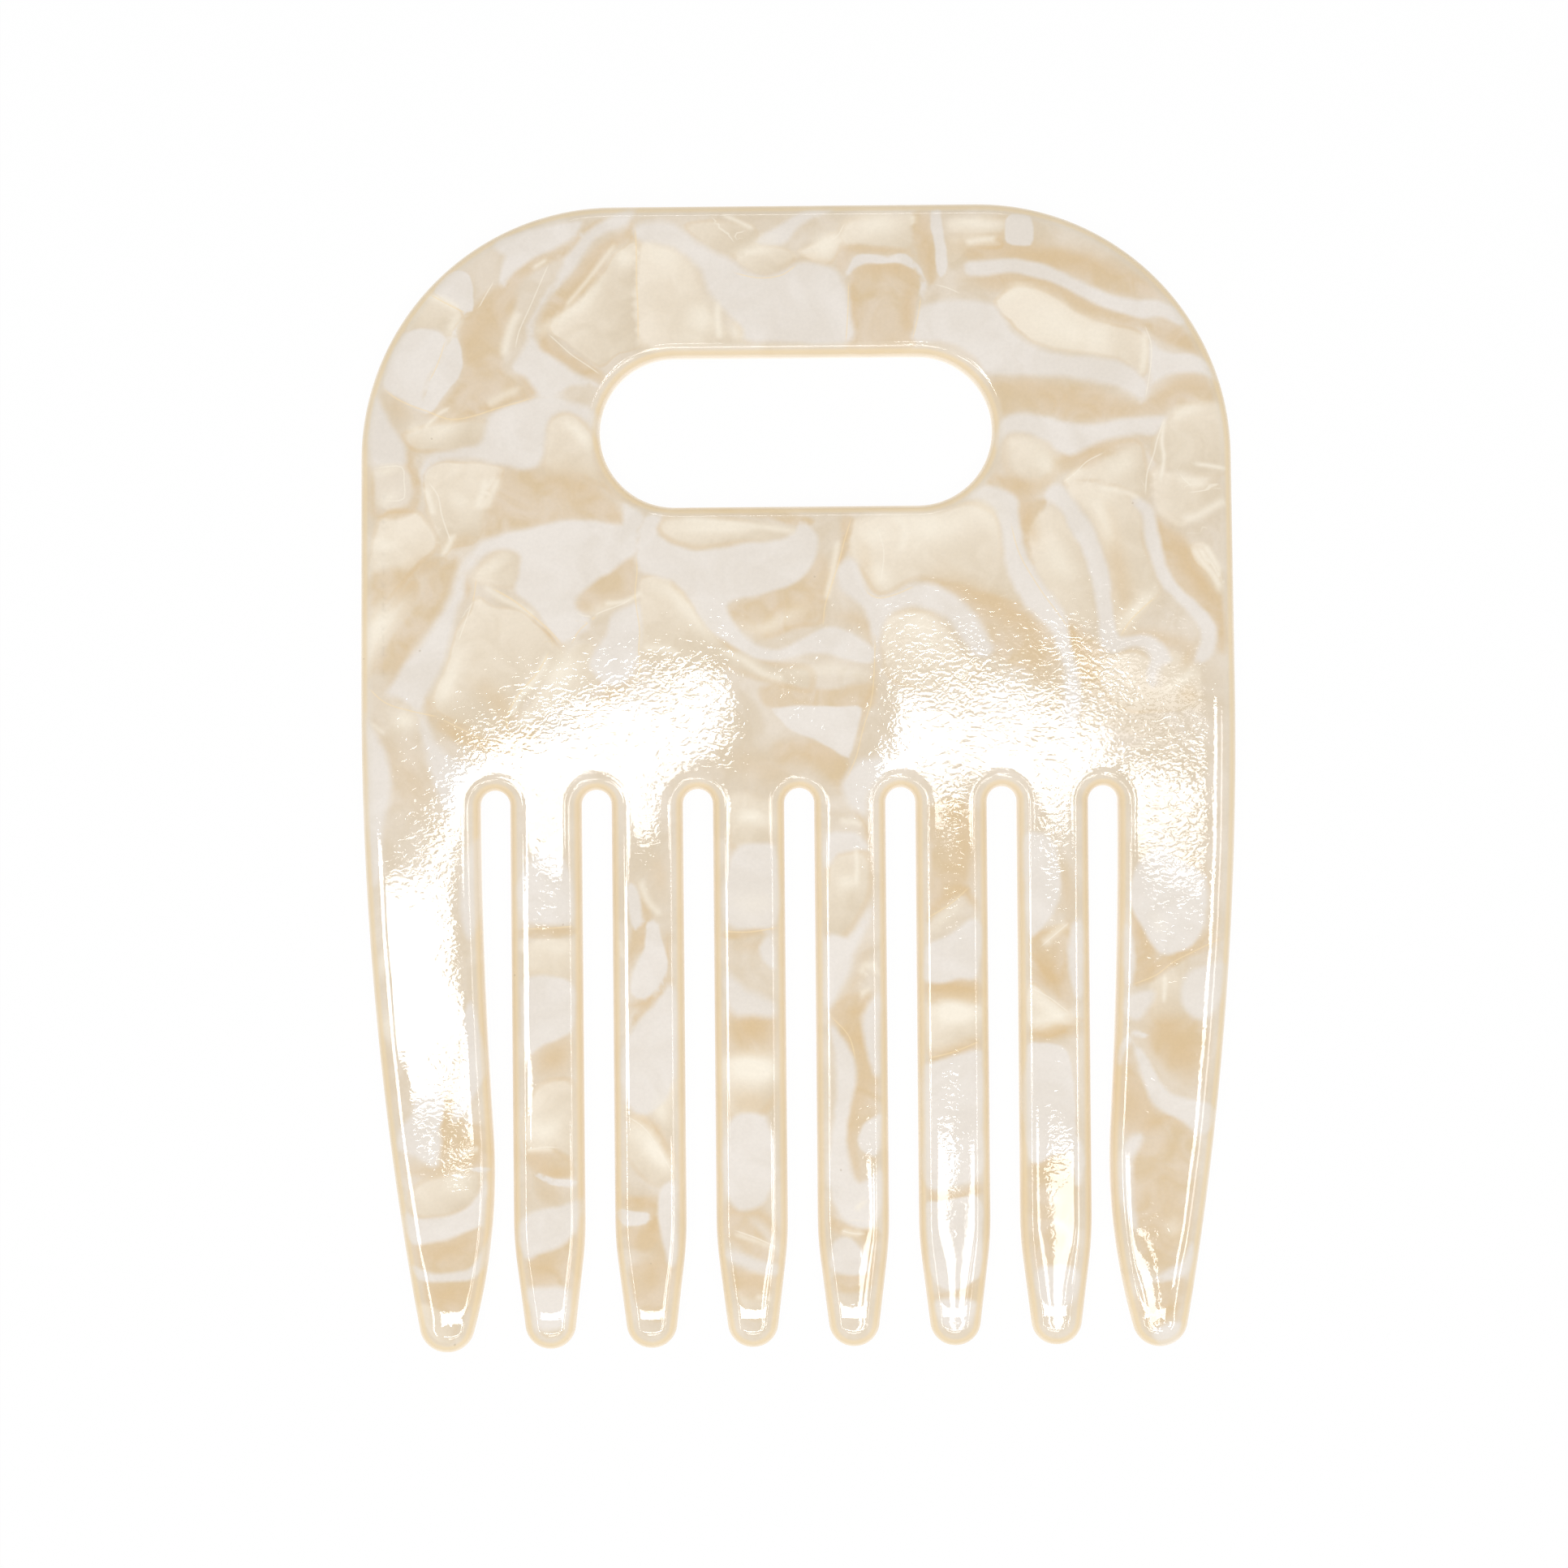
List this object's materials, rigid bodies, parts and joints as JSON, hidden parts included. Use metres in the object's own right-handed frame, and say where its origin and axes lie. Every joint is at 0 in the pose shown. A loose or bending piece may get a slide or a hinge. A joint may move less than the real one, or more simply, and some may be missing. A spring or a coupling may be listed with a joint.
{
  "type": "wide-tooth pick comb",
  "caption": "Wide-tooth pick comb in marbled pearl acetate, with a rounded handle, a finger slot through it and long round-tipped teeth.",
  "frame": {"origin": "the comb lies flat, with the origin under the middle of its outline, on the face it rests on", "axes": "+Z is the thickness, +Y points from the teeth to the handle's top edge, X runs across the teeth"},
  "size_m": [0.0826, 0.1082, 0.004],
  "materials": {
    "acetate": "tumble-polished cellulose acetate, marbled ivory, pearl and honey, slightly translucent at the edges"
  },
  "bodies": {
    "root": {"handle": "acetate", "end_tooth_left": "acetate", "tooth_1": "acetate", "tooth_2": "acetate", "tooth_3": "acetate", "tooth_4": "acetate", "tooth_5": "acetate", "tooth_6": "acetate", "end_tooth_right": "acetate"}
  },
  "joints": []
}
